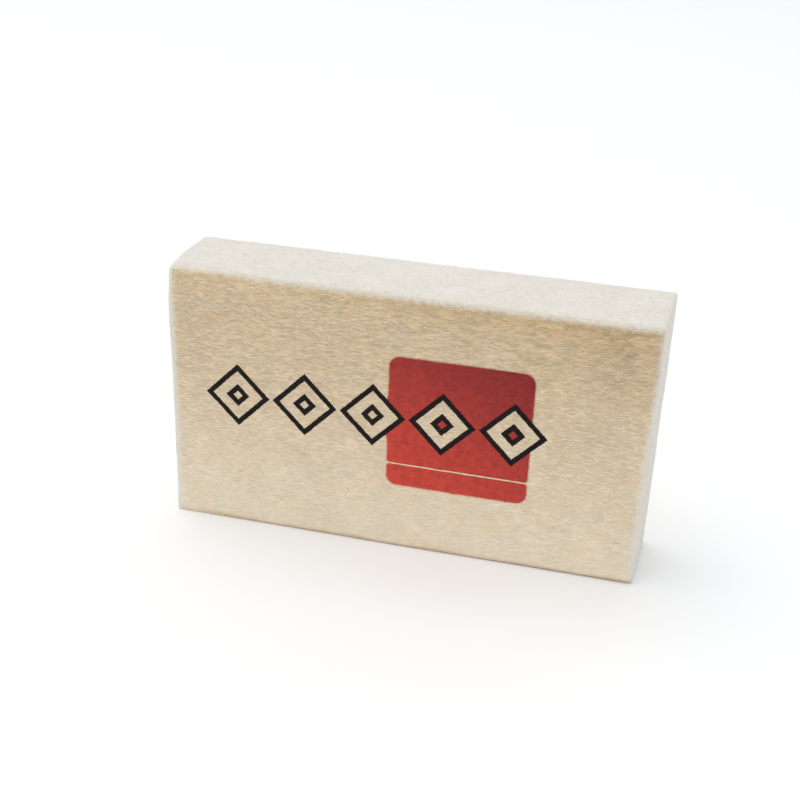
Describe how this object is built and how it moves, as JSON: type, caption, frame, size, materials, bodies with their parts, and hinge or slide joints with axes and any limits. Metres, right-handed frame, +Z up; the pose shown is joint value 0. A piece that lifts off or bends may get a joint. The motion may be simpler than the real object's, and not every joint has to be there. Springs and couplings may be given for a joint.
{
  "type": "felt hand block",
  "caption": "Solid block of pressed wool felt, standing on a long narrow side, for wiping and rubbing down by hand, with a plain geometric print soaked into its front face.",
  "frame": {"origin": "middle of the long narrow face that the block stands on", "axes": "+X along the length, +Y from the printed front face to the plain back face (the thickness), +Z up (the height as it stands)"},
  "size_m": [0.1, 0.019, 0.057],
  "materials": {
    "wool_felt": "dense, matt pressed wool felt",
    "red_ink": "matt ink soaked into felt",
    "black_ink": "matt ink soaked into felt"
  },
  "bodies": {
    "root": {"felt_block": "wool_felt", "red_panel": "red_ink", "red_band": "red_ink", "red_centres": "red_ink", "outer_line_1": "black_ink", "outer_line_2": "black_ink", "outer_line_3": "black_ink", "outer_line_4": "black_ink", "outer_line_5": "black_ink", "inner_line_1": "black_ink", "inner_line_2": "black_ink", "inner_line_3": "black_ink", "inner_line_4": "black_ink", "inner_line_5": "black_ink"}
  },
  "joints": []
}
